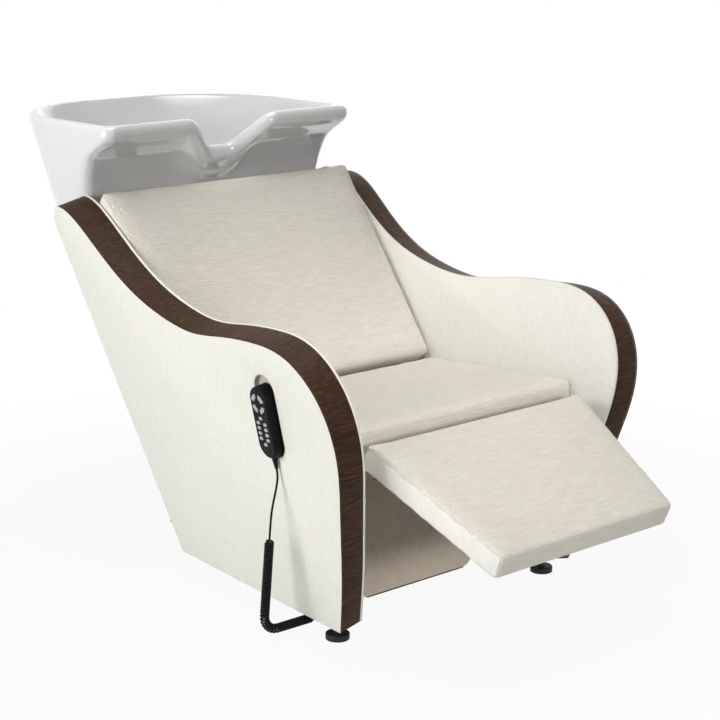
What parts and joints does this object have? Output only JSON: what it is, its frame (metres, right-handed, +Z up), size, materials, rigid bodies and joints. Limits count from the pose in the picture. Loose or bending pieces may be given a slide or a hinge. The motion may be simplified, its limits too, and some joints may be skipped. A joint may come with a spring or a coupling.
{
  "type": "backwash unit",
  "caption": "Upholstered salon backwash chair with splayed side panels, ceramic basin, powered legrest and wired handset.",
  "frame": {"origin": "on the floor, under the middle of the whole unit with its legrest half raised", "axes": "+Z up, the client faces -Y, the basin is at +Y, +X is to the client's left"},
  "size_m": [0.8198, 1.4742, 0.884],
  "materials": {
    "panel_leatherette": "ivory crinkle leatherette",
    "seat_leatherette": "pale greige crinkle leatherette",
    "kick_leatherette": "smooth taupe leatherette",
    "edge_band": "dark brown cross-grained leatherette",
    "timber": "plywood",
    "ceramic": "gloss white glaze",
    "chrome": "polished",
    "grey_plastic": "moulded",
    "bright_steel": "ground",
    "painted_steel": "black powder coat",
    "black_plastic": "moulded",
    "pocket_plastic": "moulded",
    "handset_plastic": "fine grain",
    "key_rubber": "matt",
    "cord_rubber": "satin",
    "foot_rubber": "matt"
  },
  "bodies": {
    "chair": {"actuator_hanger": "painted_steel", "actuator_motor": "black_plastic", "actuator_tube": "black_plastic", "back_board": "timber", "back_cushion": "seat_leatherette", "basin": "ceramic", "basin_arms": "painted_steel", "basin_saddle": "painted_steel", "control_box": "black_plastic", "cord_lead": "cord_rubber", "cord_socket": "handset_plastic", "cord_tail": "cord_rubber", "curly_cord": "cord_rubber", "floor_rails": "painted_steel", "foot_pads": "foot_rubber", "foot_stems": "painted_steel", "hinge_brackets": "painted_steel", "kick_panel": "kick_leatherette", "left_panel_band": "edge_band", "left_panel_core": "timber", "left_panel_inner_cover": "panel_leatherette", "left_panel_outer_cover": "panel_leatherette", "massage_motors": "black_plastic", "pedestal_boards": "timber", "pocket_liner": "pocket_plastic", "power_inlet": "black_plastic", "rear_cover": "kick_leatherette", "rear_uprights": "painted_steel", "right_panel_band": "edge_band", "right_panel_core": "timber", "right_panel_inner_cover": "panel_leatherette", "right_panel_outer_cover": "panel_leatherette", "seat_board": "timber", "seat_cushion": "seat_leatherette", "waste_flange": "chrome", "waste_strainer": "chrome", "waste_tail": "grey_plastic"},
    "legrest": {"legrest_cushion": "seat_leatherette", "legrest_board": "timber", "legrest_arms": "painted_steel", "hinge_shaft": "bright_steel", "push_lever": "painted_steel"},
    "actuator_rod": {"actuator_rod": "bright_steel"},
    "handset": {"handset_back_shell": "handset_plastic", "handset_front_shell": "handset_plastic", "strain_relief": "cord_rubber"},
    "oval_key_bottom": {"oval_key_bottom": "key_rubber"},
    "oval_key_left_1": {"oval_key_left_1": "key_rubber"},
    "oval_key_left_2": {"oval_key_left_2": "key_rubber"},
    "oval_key_left_3": {"oval_key_left_3": "key_rubber"},
    "oval_key_left_4": {"oval_key_left_4": "key_rubber"},
    "oval_key_right_1": {"oval_key_right_1": "key_rubber"},
    "oval_key_right_2": {"oval_key_right_2": "key_rubber"},
    "oval_key_right_3": {"oval_key_right_3": "key_rubber"},
    "oval_key_right_4": {"oval_key_right_4": "key_rubber"},
    "oval_key_top": {"oval_key_top": "key_rubber"},
    "ring_key_down_left": {"ring_key_down_left": "key_rubber"},
    "ring_key_down_right": {"ring_key_down_right": "key_rubber"},
    "ring_key_up_left": {"ring_key_up_left": "key_rubber"},
    "ring_key_up_right": {"ring_key_up_right": "key_rubber"}
  },
  "joints": [
    {"name": "legrest_hinge", "type": "hinge", "parent": "chair", "child": "legrest", "pos_m": [0, -0.42487, 0.3248], "axis": [1, 0, 0], "range_deg": [-20, 60]},
    {"name": "actuator_stroke", "type": "slide", "parent": "chair", "child": "actuator_rod", "axis": [0, 1, 0], "range_m": [-0.026, 0.072]},
    {"name": "handset_lift", "type": "slide", "parent": "chair", "child": "handset", "axis": [-0.9754, 0.081, -0.2048], "range_m": [0, 0.06]},
    {"name": "oval_key_bottom_press", "type": "slide", "parent": "handset", "child": "oval_key_bottom", "axis": [0.9754, -0.081, 0.2048], "range_m": [0, 0.0012], "stiffness_N_per_m": 800},
    {"name": "oval_key_left_1_press", "type": "slide", "parent": "handset", "child": "oval_key_left_1", "axis": [0.9754, -0.081, 0.2048], "range_m": [0, 0.0012], "stiffness_N_per_m": 800},
    {"name": "oval_key_left_2_press", "type": "slide", "parent": "handset", "child": "oval_key_left_2", "axis": [0.9754, -0.081, 0.2048], "range_m": [0, 0.0012], "stiffness_N_per_m": 800},
    {"name": "oval_key_left_3_press", "type": "slide", "parent": "handset", "child": "oval_key_left_3", "axis": [0.9754, -0.081, 0.2048], "range_m": [0, 0.0012], "stiffness_N_per_m": 800},
    {"name": "oval_key_left_4_press", "type": "slide", "parent": "handset", "child": "oval_key_left_4", "axis": [0.9754, -0.081, 0.2048], "range_m": [0, 0.0012], "stiffness_N_per_m": 800},
    {"name": "oval_key_right_1_press", "type": "slide", "parent": "handset", "child": "oval_key_right_1", "axis": [0.9754, -0.081, 0.2048], "range_m": [0, 0.0012], "stiffness_N_per_m": 800},
    {"name": "oval_key_right_2_press", "type": "slide", "parent": "handset", "child": "oval_key_right_2", "axis": [0.9754, -0.081, 0.2048], "range_m": [0, 0.0012], "stiffness_N_per_m": 800},
    {"name": "oval_key_right_3_press", "type": "slide", "parent": "handset", "child": "oval_key_right_3", "axis": [0.9754, -0.081, 0.2048], "range_m": [0, 0.0012], "stiffness_N_per_m": 800},
    {"name": "oval_key_right_4_press", "type": "slide", "parent": "handset", "child": "oval_key_right_4", "axis": [0.9754, -0.081, 0.2048], "range_m": [0, 0.0012], "stiffness_N_per_m": 800},
    {"name": "oval_key_top_press", "type": "slide", "parent": "handset", "child": "oval_key_top", "axis": [0.9754, -0.081, 0.2048], "range_m": [0, 0.0012], "stiffness_N_per_m": 800},
    {"name": "ring_key_down_left_press", "type": "slide", "parent": "handset", "child": "ring_key_down_left", "axis": [0.9754, -0.081, 0.2048], "range_m": [0, 0.0012], "stiffness_N_per_m": 800},
    {"name": "ring_key_down_right_press", "type": "slide", "parent": "handset", "child": "ring_key_down_right", "axis": [0.9754, -0.081, 0.2048], "range_m": [0, 0.0012], "stiffness_N_per_m": 800},
    {"name": "ring_key_up_left_press", "type": "slide", "parent": "handset", "child": "ring_key_up_left", "axis": [0.9754, -0.081, 0.2048], "range_m": [0, 0.0012], "stiffness_N_per_m": 800},
    {"name": "ring_key_up_right_press", "type": "slide", "parent": "handset", "child": "ring_key_up_right", "axis": [0.9754, -0.081, 0.2048], "range_m": [0, 0.0012], "stiffness_N_per_m": 800}
  ],
  "couplings": [
    {"joint": "actuator_stroke", "follows": "legrest_hinge", "m_per_rad": 0.066}
  ]
}
